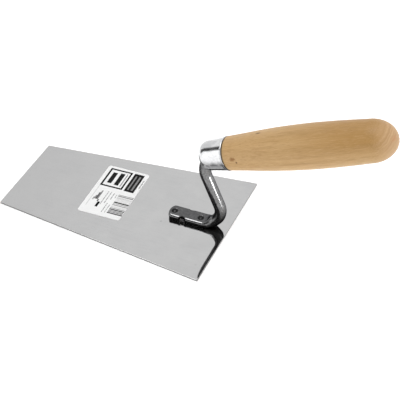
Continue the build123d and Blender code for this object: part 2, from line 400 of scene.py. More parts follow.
def ferrule_chrome():
    m = Mat("ferrule_chrome")
    along = axis_frame(m)
    up = m.xyz(along)[2]
    rub = m.noise(axis_frame(m, (0.08, 1.0, 1.0)), 2.2, 3.0, 0.6)
    hair = m.noise(axis_frame(m, (2.2, 0.12, 0.12)), 2.0, 2.0, 0.6)
    haze = m.noise(along, 0.22, 3.0, 0.6)
    cloud = m.noise(axis_frame(m, (0.55, 1.0, 1.0)), 0.24, 2.0, 0.5, 0.4)
    col = m.ramp(haze, [(0.3, (0.66, 0.665, 0.675)), (0.7, (0.76, 0.76, 0.765))])
    col = m.mix(m.range(cloud, 0.42, 0.66, 0.0, 0.55), col, (0.50, 0.505, 0.515))
    # painted shade: the lower part of the ferrule is darkened to near black, fading in from 3 mm above to 3 mm below
    # the axis with a noisy edge
    low = m.math("ADD", up, m.math("MULTIPLY", m.math("SUBTRACT", haze, 0.5), 3.0))
    col = m.mix(m.range(low, 3.0, -3.0, 0.0, 0.96), col, (0.055, 0.055, 0.057))
    m.put(m.b.inputs["Base Color"], col)
    m.b.inputs["Metallic"].default_value = 1.0
    r = m.math("ADD", m.range(haze, 0.35, 0.7, 0.13, 0.20), m.math("MULTIPLY", m.range(rub, 0.45, 0.7), 0.06))
    m.put(m.b.inputs["Roughness"], r)
    h = m.math("ADD", m.math("MULTIPLY", rub, 0.6), m.math("MULTIPLY", hair, 0.4))
    h = m.math("ADD", h, m.math("MULTIPLY", cloud, 2.5))
    m.put(m.b.inputs["Normal"], m.bump(h, 0.16, 0.03))
    return m.m


def handle_wood():
    m = Mat("handle_wood")
    # local frame: x runs along the handle from the seam, so the grain follows the wood
    rot = (0.0, TILT, 0.0)
    seam_local = (-(SEAM[0] * math.cos(TILT) + SEAM[2] * math.sin(TILT)), 0.0,
                  -(-SEAM[0] * math.sin(TILT) + SEAM[2] * math.cos(TILT)))
    v = m.coords(rot=rot, loc=seam_local)
    sx = m.xyz(v)
    long_f = m.n("ShaderNodeVectorMath", operation="MULTIPLY")
    m.put(long_f.inputs[0], v)
    long_f.inputs[1].default_value = (0.030, 1.0, 1.0)
    lv = long_f.outputs[0]
    mid_f = m.n("ShaderNodeVectorMath", operation="MULTIPLY")
    m.put(mid_f.inputs[0], v)
    mid_f.inputs[1].default_value = (0.09, 1.0, 1.0)
    mv = mid_f.outputs[0]
    band = m.noise(lv, 0.14, 3.0, 0.55, 0.25)          # wide tone bands
    ring = m.noise(lv, 0.42, 4.0, 0.6, 0.35)           # growth lines
    fibre = m.noise(lv, 3.2, 3.0, 0.65)                # fibres
    fleck = m.noise(mv, 1.6, 2.0, 0.5)                 # ray flecks
    base = m.ramp(band, [(0.25, (0.398, 0.240, 0.090)), (0.42, (0.448, 0.277, 0.112)),
                         (0.58, (0.482, 0.304, 0.130)), (0.8, (0.528, 0.345, 0.158))])
    # paler near the ferrule, more golden on the far upper side towards the butt
    base = m.mix(m.range(sx[0], -5.0, 60.0, 0.45, 0.0), base, (0.515, 0.325, 0.146))
    gold = m.math("MULTIPLY", m.range(sx[0], 40.0, 105.0), m.range(m.math("ADD", sx[2], m.math("MULTIPLY", sx[1], 0.35)), -11.0, 4.0))
    base = m.mix(m.math("MULTIPLY", gold, 0.72), base, (0.355, 0.188, 0.048))
    col = m.mix(m.range(ring, 0.50, 0.64, 0.0, 0.30), base, (0.300, 0.165, 0.055))
    col = m.mix(m.range(fibre, 0.50, 0.72, 0.0, 0.34), col, (0.240, 0.128, 0.042))
    col = m.mix(m.range(fibre, 0.47, 0.30, 0.0, 0.40), col, (0.620, 0.425, 0.225))
    col = m.mix(m.range(fleck, 0.57, 0.70, 0.0, 0.34), col, (0.300, 0.160, 0.058))
    # end grain on the butt: faint rings round a pith off centre
    d = m.dist(v, (130.0, 5.0, -21.0), (0.0, 1.0, 1.0))
    wave = m.n("ShaderNodeTexNoise")
    wave.noise_dimensions = "1D"
    m.put(wave.inputs["W"], m.math("ADD", d, m.math("MULTIPLY", m.noise(v, 0.25, 2.0), 2.0)))
    wave.inputs["Scale"].default_value = 0.85
    wave.inputs["Detail"].default_value = 2.0
    rays = m.noise(m.coords(rot=rot, loc=seam_local, scale=(1, 1, 1)), 0.6, 2.0)
    endk = m.range(sx[0], 116.0, 130.0)
    endcol = m.ramp(wave.outputs["Fac"], [(0.3, (0.470, 0.285, 0.140)), (0.5, (0.535, 0.340, 0.178)), (0.7, (0.600, 0.400, 0.225))])
    endcol = m.mix(m.range(rays, 0.5, 0.7, 0.0, 0.25), endcol, (0.47, 0.27, 0.13))
    col = m.mix(m.math("MULTIPLY", endk, 0.8), col, endcol)
    # reddish mark on the end
    red = m.range(m.math("ADD", m.dist(v, (129.0, -3.0, 2.5), (0.6, 0.45, 1)), m.math("MULTIPLY", m.noise(v, 0.8, 3.0), 2.0)), 1.0, 3.4, 1.0, 0.0)
    col = m.mix(m.math("MULTIPLY", red, 0.5), col, (0.56, 0.26, 0.12))
    # a brown smear, a small knot dot and a dark tick on the upper edge
    wob = m.math("MULTIPLY", m.noise(v, 0.9, 3.0), 2.4)
    sm = m.math("ADD", m.dist(v, SMEAR, (0.62, 1, 1)), wob)
    col = m.mix(m.range(sm, 1.6, 3.4, 0.8, 0.0), col, (0.235, 0.095, 0.022))
    dot = m.math("ADD", m.dist(v, DOT), m.math("MULTIPLY", wob, 0.25))
    col = m.mix(m.range(dot, 0.7, 1.35, 0.9, 0.0), col, (0.10, 0.045, 0.015))
    tick = m.dist(v, TICK, (0.45, 1, 1))
    col = m.mix(m.range(tick, 0.4, 1.3, 0.8, 0.0), col, (0.12, 0.06, 0.022))
    # darker ring where the wood meets the ferrule
    col = m.mix(m.range(sx[0], 0.35, 1.5, 0.9, 0.0), col, (0.075, 0.052, 0.022))
    m.put(m.b.inputs["Base Color"], col)
    rg = m.math("ADD", m.range(fibre, 0.35, 0.7, 0.40, 0.52), m.math("MULTIPLY", m.range(band, 0.3, 0.7), 0.04))
    m.put(m.b.inputs["Roughness"], rg)
    m.b.inputs["Specular IOR Level"].default_value = 0.32
    m.b.inputs["Coat Weight"].default_value = 0.05
    m.b.inputs["Coat Roughness"].default_value = 0.28
    h = m.math("ADD", m.math("MULTIPLY", fibre, -0.7), m.math("MULTIPLY", fleck, -0.3))
    m.put(m.b.inputs["Normal"], m.bump(h, 0.22, 0.05))
    return m.m


def label_paper():
    m = Mat("label_paper")
    v = m.coords()
    ink = m.attr("ink")
    fibre = m.noise(v, 2.4, 3.0, 0.6)
    cloud = m.noise(v, 0.12, 2.0)
    paper = m.ramp(fibre, [(0.3, (0.745, 0.745, 0.745)), (0.7, (0.795, 0.795, 0.793))])
    paper = m.mix(m.range(cloud, 0.35, 0.7, 0.0, 0.4), paper, (0.73, 0.73, 0.73))
    dropout = m.range(m.noise(v, 5.0, 2.0), 0.30, 0.40, 0.97, 1.0)
    col = m.mix(m.math("MULTIPLY", ink, dropout), paper, (0.0015, 0.0015, 0.0015))
    m.put(m.b.inputs["Base Color"], col)
    m.put(m.b.inputs["Roughness"], m.range(fibre, 0.3, 0.7, 0.5, 0.62))
    m.b.inputs["Specular IOR Level"].default_value = 0.12
    m.put(m.b.inputs["Normal"], m.bump(m.math("ADD", fibre, m.math("MULTIPLY", ink, 0.4)), 0.12, 0.02))
    return m.m


def on_handle(s, ang, r):
    """Local position (along, across, up) of a point on the handle, angle from up towards -Y."""
    a = math.radians(ang)
    return (s, -math.sin(a) * r, math.cos(a) * r)


SMEAR = on_handle(9.0, 78.0, 13.27)
DOT = on_handle(11.6, 90.0, 13.47)
TICK = on_handle(29.5, 2.0, 14.9)

M_BLADE, M_EDGE, M_TANG, M_WELD = blade_steel(), blade_edge(), tang_steel(), weld_steel()
M_CHROME, M_WOOD, M_LABEL = ferrule_chrome(), handle_wood(), label_paper()


# --------------------------------------------------------------------------
# blade: sheet with softened edges, cut into a fine net, very slightly wavy
def make_blade():
    bm = bmesh.new()
    t, h = TOE_W / 2, HEEL_W / 2
    pts = [(-HALF_L, -t), (HALF_L, -h), (HALF_L, h), (-HALF_L, t)]
    lo = [bm.verts.new((x * MM, y * MM, 0.0)) for x, y in pts]
    hi = [bm.verts.new((x * MM, y * MM, BLADE_T * MM)) for x, y in pts]
    bm.faces.new(list(reversed(lo)))
    bm.faces.new(hi)
    for i in range(4):
        j = (i + 1) % 4
        bm.faces.new((lo[i], lo[j], hi[j], hi[i]))
    bmesh.ops.recalc_face_normals(bm, faces=bm.faces)
    up = [e for e in bm.edges if abs(e.verts[0].co.z - e.verts[1].co.z) > 0.0005]
    bmesh.ops.bevel(bm, geom=up, offset=0.45 * MM, segments=4, affect="EDGES", profile=0.5)
    rim = [e for e in bm.edges if len(e.link_faces) == 2
           and abs(e.link_faces[0].normal.z) + abs(e.link_faces[1].normal.z) > 0.9
           and abs(abs(e.link_faces[0].normal.z) - abs(e.link_faces[1].normal.z)) > 0.5]
    bmesh.ops.bevel(bm, geom=rim, offset=0.16 * MM, segments=3, affect="EDGES", profile=0.6)
    for x in np.arange(-87, 90, 3.0):
        geom = bm.verts[:] + bm.edges[:] + bm.faces[:]
        bmesh.ops.bisect_plane(bm, geom=geom, plane_co=(x * MM, 0, 0), plane_no=(1, 0, 0))
    for y in np.arange(-57, 60, 3.0):
        geom = bm.verts[:] + bm.edges[:] + bm.faces[:]
        bmesh.ops.bisect_plane(bm, geom=geom, plane_co=(0, y * MM, 0), plane_no=(0, 1, 0))
    for v in bm.verts:
        x, y, z = v.co / MM
        if z > BLADE_T - 0.01:
            # flat under the foot and the label, a hair hollow elsewhere
            free = float(smooth(6.0, 16.0, abs(y))) if x > 30 else 1.0
            edge = min(1.0, max(0.0, (HALF_L - abs(x)) / 12.0))
            lab = float(smooth(0.0, 8.0, max(abs(x + 11.4) - 20.0, abs(y - 5.9) - 32.0)))
            v.co.z -= MM * 0.010 * (0.5 + 0.5 * nz((x, y, 0), 42.0, 1.7)) * free * edge * lab
    me = bpy.data.meshes.new("blade_sheet")
    bm.normal_update()
    for f in bm.faces:
        f.material_index = 1 if abs(f.normal.z) < 0.35 else 0
        f.smooth = True
    bm.to_mesh(me)
    bm.free()
    me.set_sharp_from_angle(angle=math.radians(50))
    ob = bpy.data.objects.new("blade_sheet", me)
    scene.collection.objects.link(ob)
    me.materials.append(M_BLADE)
    me.materials.append(M_EDGE)
    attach(ob, "root")
    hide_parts("blade")
    return ob


# --------------------------------------------------------------------------
# tang
def tang_path():
    """Centre line as a list of (x, z, tangent angle), with the start, centre and turn of the first bend."""
    low = np.array([90.19, FOOT_Z])
    turn1 = math.pi / 2 + LEAN
    tl1 = R_LOW * math.tan(turn1 / 2)
    start = low - np.array([tl1, 0.0])
    c1 = start + np.array([0.0, R_LOW])
    end1 = c1 + R_LOW * np.array([math.sin(turn1), -math.cos(turn1)])
    nd, ad = np.array([NECK[0], NECK[2]]), np.array([AX[0], AX[2]])
    s0 = np.array([SEAM[0], SEAM[2]])
    k = np.linalg.solve(np.array([nd, -ad]).T, s0 - low)
    high = low + nd * k[0]
    turn2 = turn1 - TILT
    tl2 = R_UP * math.tan(turn2 / 2)
    a2, b2 = high - nd * tl2, high + ad * tl2
    c2 = a2 + R_UP * np.array([math.cos(turn1 - math.pi / 2), math.sin(turn1 - math.pi / 2)])
    pts = []
    tip = 40.5
    xs = np.concatenate([tip + 0.02 + 3.0 * (np.linspace(0, 1, 17) ** 1.6), np.arange(43.8, start[0], 0.26)])
    for x in xs:
        pts.append((x, FOOT_Z, 0.0))
    n1 = 92
    for i in range(n1):
        a = turn1 * i / n1
        p = c1 + R_LOW * np.array([math.sin(a), -math.cos(a)])
        pts.append((p[0], p[1], a))
    L = np.linalg.norm(a2 - end1)
    n2 = 62
    for i in range(n2):
        p = end1 + nd * L * i / n2
        pts.append((p[0], p[1], turn1))
    n3 = 64
    for i in range(n3):
        a = turn2 * i / n3
        d = turn1 - a
        p = c2 + R_UP * np.array([-math.sin(d), math.cos(d)])
        pts.append((p[0], p[1], d))
    sh = s0 + ad * -8.4
    pts.append((b2[0], b2[1], TILT))
    pts.append((sh[0], sh[1], TILT))
    return pts, start, c1, turn1


def ring_angles():
    """Angle of each section point on a circle, from +Y over the top, dense where the foot is flat."""
    return np.radians(np.concatenate([
        np.linspace(0, 26, 7, endpoint=False),      # +Y side, upper half
        np.linspace(26, 50, 9, endpoint=False),     # upper corner
        np.linspace(50, 130, 44, endpoint=False),   # top
        np.linspace(130, 154, 9, endpoint=False),   # upper corner
        np.linspace(154, 206, 14, endpoint=False),  # -Y side
        np.linspace(206, 230, 9, endpoint=False),   # lower corner
        np.linspace(230, 310, 22, endpoint=False),  # bottom
        np.linspace(310, 334, 9, endpoint=False),   # lower corner
        np.linspace(334, 360, 7, endpoint=False),
    ]))


def box_ring(th, a, b, r):
    """The same points on a box of half sizes a, b with corner radius r."""
    deg = np.degrees(th)
    out = np.zeros((len(th), 2))
    for i, d in enumerate(deg):
        if d < 26 or d >= 334:
            dd = d if d < 26 else d - 360
            out[i] = (a, (b - r) * dd / 26.0)
        elif d < 50:
            q = math.radians((d - 26) / 24.0 * 90)
            out[i] = (a - r + r * math.cos(q), b - r + r * math.sin(q))
        elif d < 130:
            out[i] = ((a - r) * (90 - d) / 40.0, b)
        elif d < 154:
            q = math.radians(90 + (d - 130) / 24.0 * 90)
            out[i] = (-(a - r) + r * math.cos(q), b - r + r * math.sin(q))
        elif d < 206:
            out[i] = (-a, (b - r) * (180 - d) / 26.0)
        elif d < 230:
            q = math.radians(180 + (d - 206) / 24.0 * 90)
            out[i] = (-(a - r) + r * math.cos(q), -(b - r) + r * math.sin(q))
        elif d < 310:
            out[i] = ((a - r) * (d - 270) / 40.0, -b)
        else:
            q = math.radians(270 + (d - 310) / 24.0 * 90)
            out[i] = (a - r + r * math.cos(q), -(b - r) + r * math.sin(q))
    return out


def make_tang():
    pts, start, c1, turn1 = tang_path()
    th = ring_angles()
    circle = np.stack([np.cos(th), np.sin(th)], -1) * ROD
    rings, tint, polish = [], [], []
    tip_r = 11.13
    for (x, z, a) in pts:
        on_foot = a == 0.0
        phi = math.degrees(a) if z < 30 else 200.0
        morph = float(smooth(8.0, 44.0, phi))
        half, thick, rad = 6.65, 2.425, 2.0
        if on_foot:
            d = x - 40.5
            if d < 2.6:
                half = min(half, math.sqrt(max(1e-6, tip_r**2 - (tip_r - d) ** 2)))
            # blend the plan corner
            if d < 3.6:
                half -= 0.55 * float(smooth(3.6, 2.2, d)) * (0.0 if d < 1.0 else 1.0) * 0.6
            lift = 1.15 - math.sqrt(max(0.0, 1.15**2 - max(0.0, 1.15 - d) ** 2)) if d < 1.15 else 0.0
        else:
            lift = 0.0
        rad = min(rad, half * 0.95)
        ring = box_ring(th, half, thick, rad)
        if morph > 0:
            # the forged flat gives way to the round rod: wide part first, then the sides
            ring = ring * (1 - morph) + circle * morph
        wide = float(np.abs(ring[:, 0]).max())
        N = np.array([-math.sin(a), 0.0, math.cos(a)])
        C = np.array([x, 0.0, z])
        row = []
        rt = []
        rp = []
        for k, (yy, nn) in enumerate(ring):
            tt = 0.0
            rp.append(max(float(smooth(0.35, 1.0, abs(yy) - wide + 2.45)) if nn < thick - 0.06 or morph > 0 else 0.0,
                          float(smooth(0.1, 0.9, morph))))
            if on_foot or phi < 20:
                # top rounds down at the tip
                if nn > 0:
                    nn -= lift * (nn / thick)
                # side notches of the tack welds
                for x0, sign in ((NOTCH_L, -1), (NOTCH_R, 1)):
                    dx = abs(x - x0)
                    if dx < 2.95 and yy * sign > 0:
                        dep = math.sqrt(max(0.0, 3.4**2 - dx * dx)) - 1.65
                        lim = 6.65 - dep
                        if abs(yy) > lim:
                            yy = sign * lim
                            tt = max(tt, 0.92)
                        elif abs(yy) > lim - 0.9:
                            tt = max(tt, 0.85 * (1 - (lim - abs(yy)) / 0.9 * 0.4))
                # electrode dimples with a raised middle
                if nn > thick - 0.5:
                    for xd in DIMPLES:
                        q = math.hypot(x - xd, yy + 0.35)
                        if q < 3.0:
                            dip = 0.62 * float(smooth(2.75, 2.05, q)) - 0.46 * float(smooth(1.25, 0.45, q))
                            nn -= dip
                            tt = max(tt, 0.88 * float(smooth(2.75, 2.2, q)) * (1 - 0.72 * float(smooth(1.15, 0.5, q))))
                        lipq = abs(q - 3.05)
                        if lipq < 0.5:
                            nn += 0.06 * (1 - lipq / 0.5)
            P = C + YY * yy + N * nn
            outz = (N * nn)[2] / max(1e-6, math.hypot(yy, nn))
            # painted shade: on the lower bend and the bottom of the neck the faces turned downwards are darkened in the
            # tint attribute, and so are the lower side faces of the flat foot
            if phi < 150:
                painted_shade = float(smooth(0.32, -0.30, outz)) if morph > 0 else 0.0
                if morph < 1:
                    painted_shade = max(painted_shade, (1 - morph) * float(smooth(0.7, 0.1, nn)) * float(smooth(5.2, 6.2, abs(yy))))
                tt = max(tt, 0.93 * painted_shade * float(smooth(126.0, 100.0, phi)))
            # hammer marks and small pits
            vis = 1.0 if nn > -thick + 0.3 or morph > 0.3 else 0.0
            if vis:
                P = P - (YY * yy + N * nn) / max(1e-6, math.hypot(yy, nn)) * (
                    0.03 * (0.5 + 0.5 * nz(P, 5.5, 3.1)) + 0.012 * max(0.0, nz(P, 1.6, 7.7)) * (0.3 if abs(yy) > 5.0 and morph < 0.1 else 1.0))
            if P[2] < BLADE_T:
                P[2] = BLADE_T
            row.append(P)
            rt.append(tt)
        rings.append(row)
        tint.append(rt)
        polish.append(rp)
    # square, tapered spike inside the wood
    def square(s, half):
        out = []
        for q in th:
            k = half / max(abs(math.cos(q)), abs(math.sin(q)))
            out.append(SEAM + AX * s + YY * (k * math.cos(q)) + NUP * (k * math.sin(q)))
        return out
    for s, half in ((-8.4, 3.19), (0.0, 3.03), (20.0, 2.59), (40.0, 2.16), (60.0, 1.73), (61.9, 1.6)):
        rings.append(square(s, half))
        tint.append([0.3] * len(th))
        polish.append([0.0] * len(th))
    verts, faces = rings_to_mesh(rings)
    ob = make("tang_forging", verts, faces, sharp=48.0)
    flat = [v for r in tint for v in r] + [0.0, 0.0]
    point_attribute(ob, "tint", flat)
    point_attribute(ob, "polish", [v for r in polish for v in r] + [0.0, 0.0])
    ob.data.materials.append(M_TANG)
    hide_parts("tang")
    return ob


# --------------------------------------------------------------------------
# weld beads: small frozen pools with ripples
def make_bead(name, node, cx, cy, seed):
    rings = []
    nu, nv = 48, 30
    for i in range(1, nv):
        t = math.pi / 2 * i / (nv - 1)
        row = []
        for j in range(nu):
            q = 2 * math.pi * j / nu
            ca, sa = math.cos(q), math.sin(q)
            st = math.sin(t) ** 0.7
            ux = math.copysign(abs(ca) ** 0.8, ca) * st
            uy = math.copysign(abs(sa) ** 0.8, sa) * st
            uz = math.cos(t) ** 0.55 if i < nv - 1 else 0.0
            k = 1 + 0.09 * nz((ux * 3, uy * 3, uz * 3), 1.0, seed)
            rip = 0.16 * math.sin(ux * 9.0 + 1.5 * uy + seed)
            row.append((cx + ux * 2.45 * k, cy + uy * 1.28 * k, BLADE_T + uz * (3.25 + rip) * k))
        rings.append(row)
    verts, faces = rings_to_mesh(rings)
    ob = make(name, verts, faces, sharp=60.0)
    ob.data.materials.append(M_WELD)
    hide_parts(node)
    return ob


# --------------------------------------------------------------------------
# things turned about the handle's axis
def turned(profile, n, squash=None):
    """Rings about the handle axis from a list of (s, r)."""
    rings = []
    for s, r in profile:
        row = []
        for j in range(n):
            q = 2 * math.pi * j / n
            rr = r(q) if callable(r) else r
            row.append(SEAM + AX * s + YY * (rr * math.cos(q)) + NUP * (rr * math.sin(q)))
        rings.append(row)
    return rings


def cone(s):
    return 11.9 + (s + 11.0) * 0.07


def make_ferrule():
    n = 160
    out = []
    # nose: flat disc rolled over into the cone
    nose = [(-22.0, 0.6), (-22.0, 3.0), (-22.0, 4.6)]
    for t in np.linspace(0, 1, 22):
        a = t * math.pi / 2
        # ellipse-like roll with a long shoulder
        s = -22.0 + 8.0 * (1 - math.cos(a)) ** 1.25
        r = 5.0 + 6.62 * math.sin(a) ** 0.78
        nose.append((s, r))
    prof = nose
    s_end, r_end = prof[-1]
    for t in np.linspace(0.12, 1, 16):
        s = s_end + (-1.95 - s_end) * t
        r = r_end + (cone(-1.95) - r_end) * (t * 1.0)
        prof.append((s, r))
    # step, rolled rim, open end, then the inside wall
    prof += [(-1.62, cone(-1.62) - 0.04), (-1.48, cone(-1.5) - 0.2), (-1.3, cone(-1.3) - 0.2)]
    for t in np.linspace(0, math.pi, 13):
        prof.append((-0.72 - 0.48 * math.cos(t), 12.50 + 0.38 * math.sin(t)))
    prof += [(-0.22, 12.34), (-0.2, 12.1), (-0.24, cone(-0.2) - 0.8)]
    for s in (-3.0, -6.0, -9.0, -11.0):
        prof.append((s, cone(s) - 0.8))
    prof += [(-13.0, 10.8), (-15.0, 10.45), (-17.0, 9.5), (-18.6, 8.6), (-20.0, 7.2), (-20.8, 5.6), (-21.15, 4.0), (-21.2, 2.0), (-21.2, 0.6)]
    verts, faces = rings_to_mesh(turned(prof, n))
    ob = make("ferrule_shell", verts, faces, sharp=38.0)
    # slot in the nose for the bent neck, with a little room all round
    pts, start, c1, turn1 = tang_path()
    q = np.linspace(0, 2 * math.pi, 64, endpoint=False)
    rings = []
    for (x, z, a) in pts:
        if z < 40.0:
            continue
        N = np.array([-math.sin(a), 0.0, math.cos(a)])
        C = np.array([x, 0.0, z])
        rings.append([C + YY * (4.88 * math.cos(t)) + N * (4.88 * math.sin(t)) for t in q])
    v2, f2 = rings_to_mesh(rings)
    cut = make("slot_cutter", v2, f2)
    mod = ob.modifiers.new("slot", "BOOLEAN")
    mod.object, mod.operation, mod.solver = cut, "DIFFERENCE", "EXACT"
    dg = bpy.context.evaluated_depsgraph_get()
    me = bpy.data.meshes.new_from_object(ob.evaluated_get(dg))
    ob.modifiers.clear()
    old = ob.data
    ob.data = me
    bpy.data.meshes.remove(old)
    bpy.data.objects.remove(cut)
    me.name = "ferrule_shell"
    for p in me.polygons:
        p.use_smooth = True
    me.set_sharp_from_angle(angle=math.radians(38))
    me.materials.clear()
    me.materials.append(M_CHROME)
    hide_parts("ferrule")
    return ob


def make_handle():
    n = 200
    seat = lambda s: cone(s) - 0.8
    stations = [(0.5, 12.64), (12.0, 13.5), (25.0, 14.6), (46.0, 15.85), (69.0, 16.4), (92.0, 16.0), (104.0, 15.55), (111.5, 15.25)]
    prof = []
    for s, half in ((61.9, 1.72), (40.0, 2.17), (20.0, 2.61), (0.0, 3.05), (-8.0, 3.22)):
        prof.append((s, lambda q, half=half: half / max(abs(math.cos(q)), abs(math.sin(q)))))
    prof += [(-8.0, 6.0), (-8.0, seat(-8.0) - 0.62), (-7.75, seat(-8.0) - 0.2), (-7.4, seat(-7.4) - 0.03)]
    prof += [(s, seat(s) - 0.03) for s in (-5.0, -2.5, -0.4, -0.02)]
    prof += [(0.0, 11.95), (0.0, 12.05), (0.05, 12.17), (0.2, 12.38), (0.36, 12.53)]
    ss = np.concatenate([np.linspace(0.5, 6, 12), np.arange(7, 111.5, 1.0)])
    rr = hermite([a for a, b in stations], [b for a, b in stations], 0.085, 0.0, ss)
    prof += list(zip(ss, rr))
    for u in np.linspace(0, math.pi / 2, 36)[:-1]:
        prof.append((111.5 + 19.4 * math.sin(u), 15.25 * math.cos(u)))
    prof.append((111.5 + 19.4 * math.sin(math.pi / 2 - 0.012), 15.25 * math.cos(math.pi / 2 - 0.012)))
    rings = turned(prof, n)
    # hand-finished surface: very slight flats and fine lengthwise furrows, always inwards
    moved = []
    for (s, r), row in zip(prof, rings):
        if s > 0.6 and not callable(r):
            new = []
            fade = float(smooth(0.6, 4.0, s))
            for P in row:
                c = SEAM + AX * s
                d = P - c
                L = np.linalg.norm(d)
                if L > 1e-6:
                    loc = (s * 0.12, d[1], float(d @ NUP))
                    dip = 0.035 * (0.5 + 0.5 * nz(loc, 5.5, 2.2)) + 0.018 * (0.5 + 0.5 * nz((loc[0] * 0.4, loc[1], loc[2]), 1.1, 5.0))
                    P = c + d * (1 - fade * dip / L)
                new.append(P)
            moved.append(new)
        else:
            moved.append(row)
    verts, faces = rings_to_mesh(moved)
    ob = make("handle_grip", verts, faces, sharp=40.0)
    ob.data.materials.append(M_WOOD)
    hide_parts("handle")
    return ob


# --------------------------------------------------------------------------
# label: thin paper with rounded corners, its print as areas of the mesh
def label_print():
    """(low u, low v, high u, high v, ink) in label millimetres; plain bars and blocks, no words."""
    a = []
    # framed panel: a heavy open rectangle with solid bars and a pale line
    a += [(-15.0, 25.7, 4.3, 27.3, 1.0), (-15.0, 4.6, 4.3, 6.2, 1.0), (-15.0, 6.2, -13.4, 25.7, 1.0), (2.8, 6.2, 4.3, 25.7, 1.0)]
    a += [(-11.0, 9.2, -7.2, 22.8, 1.0), (-4.6, 8.4, -0.9, 23.6, 1.0), (0.7, 8.0, 1.5, 24.0, 0.7)]
    # solid block with paler lines
    a += [(6.1, 4.2, 8.2, 27.3, 1.0), (12.8, 4.2, 14.7, 27.3, 1.0), (8.2, 4.2, 12.8, 6.6, 1.0), (8.2, 24.6, 12.8, 27.3, 1.0)]
    a += [(8.2, 6.6, 9.3, 24.6, 0.72), (9.3, 6.6, 11.3, 24.6, 1.0), (11.3, 6.6, 12.8, 24.6, 0.74)]
    a += [(16.1, 11.0, 17.2, 14.4, 0.55), (16.1, 15.0, 17.2, 18.0, 0.6), (16.1, 18.6, 17.2, 21.6, 0.5)]
    # long pale line near the toe side
    a += [(-15.0, -21.8, -14.3, 6.4, 0.24)]
    # short thick bar with a grey wedge made of steps
    a += [(-7.4, -20.9, -5.3, -14.6, 1.0)]
    a += [(-8.6, -14.6, -7.4, -12.0, 0.85), (-9.8, -12.4, -8.6, -1.2, 0.75), (-10.9, -12.4, -9.8, -4.0, 0.9),
          (-12.0, -12.4, -10.9, -8.0, 0.7), (-13.0, -13.9, -12.0, -10.2, 0.6)]
    # pale lines in the middle, broken into runs
    def line(u, v0, v1, ink, seed):
        v = v0
        k = seed
        while v < v1 - 0.5:
            k = (k * 37 + 11) % 23
            w = 1.3 + (k % 7) * 0.55
            a.append((u, v, u + 0.72, min(v + w, v1), ink))
            v += w + 0.55
    line(-4.7, -17.2, -0.5, 0.62, 3)
    line(-2.2, -14.8, -0.4, 0.62, 7)
    line(0.6, -9.2, -0.6, 0.62, 5)
    line(0.3, -25.2, -13.4, 0.62, 9)
    line(2.9, -25.0, -15.0, 0.5, 13)
    line(3.2, -6.6, -2.4, 0.5, 2)
    # rule stripes across the far edge, closer and wider by turns
    for v, w, ink in ((-1.3, 0.7, 0.75), (-2.6, 1.0, 0.8), (-4.5, 0.4, 0.5), (-5.4, 0.5, 0.55), (-6.6, 0.4, 0.45), (-7.8, 0.5, 0.4),
                      (-9.2, 0.45, 0.5), (-10.2, 1.35, 1.0), (-12.2, 0.7, 0.75), (-13.6, 0.9, 0.7), (-15.4, 0.4, 0.4), (-16.4, 0.45, 0.5),
                      (-17.6, 0.8, 0.8), (-18.9, 1.2, 0.95), (-20.6, 0.9, 0.85), (-22.0, 0.8, 0.9), (-23.3, 1.3, 0.95)):
        a.append((5.0, v - w, 18.0, v, ink))
    return a


def make_label():
    hu, hv, r = 36.3 / 2, 59.5 / 2, 2.0
    areas = label_print()
    bm = bmesh.new()
    outline = []
    for cu, cv, a0 in ((hu - r, hv - r, 0), (-hu + r, hv - r, 90), (-hu + r, -hv + r, 180), (hu - r, -hv + r, 270)):
        for k in range(9):
            q = math.radians(a0 + k * 90 / 8)
            outline.append((cu + r * math.cos(q), cv + r * math.sin(q)))
    top = bm.faces.new([bm.verts.new((u, v, 0.0)) for u, v in outline])
    cuts_u = sorted({round(x, 3) for p in areas for x in (p[0], p[2])} | set(np.arange(-16, 18, 4.0).tolist()))
    cuts_v = sorted({round(x, 3) for p in areas for x in (p[1], p[3])} | set(np.arange(-28, 30, 4.0).tolist()))
    for u in cuts_u:
        bmesh.ops.bisect_plane(bm, geom=bm.verts[:] + bm.edges[:] + bm.faces[:], plane_co=(u, 0, 0), plane_no=(1, 0, 0), dist=1e-4)
    for v in cuts_v:
        bmesh.ops.bisect_plane(bm, geom=bm.verts[:] + bm.edges[:] + bm.faces[:], plane_co=(0, v, 0), plane_no=(0, 1, 0), dist=1e-4)
    bmesh.ops.recalc_face_normals(bm, faces=bm.faces)
    if bm.faces[:] and bm.faces[:][0].normal.z < 0:
        bmesh.ops.reverse_faces(bm, faces=bm.faces[:])
    lay = bm.faces.layers.float.new("ink")
    for f in bm.faces:
        c = f.calc_center_median()
        ink = 0.0
        for u0, v0, u1, v1, k in areas:
            if u0 < c.x < u1 and v0 < c.y < v1:
                ink = max(ink, k)
        f[lay] = ink
    # give it thickness: sides and underside
    ret = bmesh.ops.extrude_face_region(bm, geom=bm.faces[:])
    up = [g for g in ret["geom"] if isinstance(g, bmesh.types.BMVert)]
    for v in up:
        v.co.z = 0.12
    bm.normal_update()
    bmesh.ops.recalc_face_normals(bm, faces=bm.faces)
    for f in bm.faces:
        if f.calc_center_median().z < 0.1199:
            f[lay] = 0.0
    ca, sa = math.cos(math.radians(1.5)), math.sin(math.radians(1.5))
    for v in bm.verts:
        u, w, z = v.co
        if z > 0.1:
            z -= 0.035 * (0.5 + 0.5 * nz((u, w, 0), 9.0, 4.4))
        v.co = Vector(((-11.4 + u * ca - w * sa) * MM, (5.9 + u * sa + w * ca) * MM, (BLADE_T + z) * MM))
    me = bpy.data.meshes.new("label_sheet")
    bm.to_mesh(me)
    bm.free()
    me.materials.append(M_LABEL)
    ob = bpy.data.objects.new("label_sheet", me)
    scene.collection.objects.link(ob)
    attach(ob, "root")
    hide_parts("label")
    return ob


make_blade()
make_tang()
make_bead("tack_bead_left", "tack_weld_left", NOTCH_L, -6.0, 1.3)
make_bead("tack_bead_right", "tack_weld_right", NOTCH_R, 6.0, 4.9)
make_ferrule()
make_handle()
make_label()
for node in ("spot_weld_front", "spot_weld_rear"):
    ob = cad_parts[node]
    for slot in ob.material_slots:
        slot.material = M_WELD


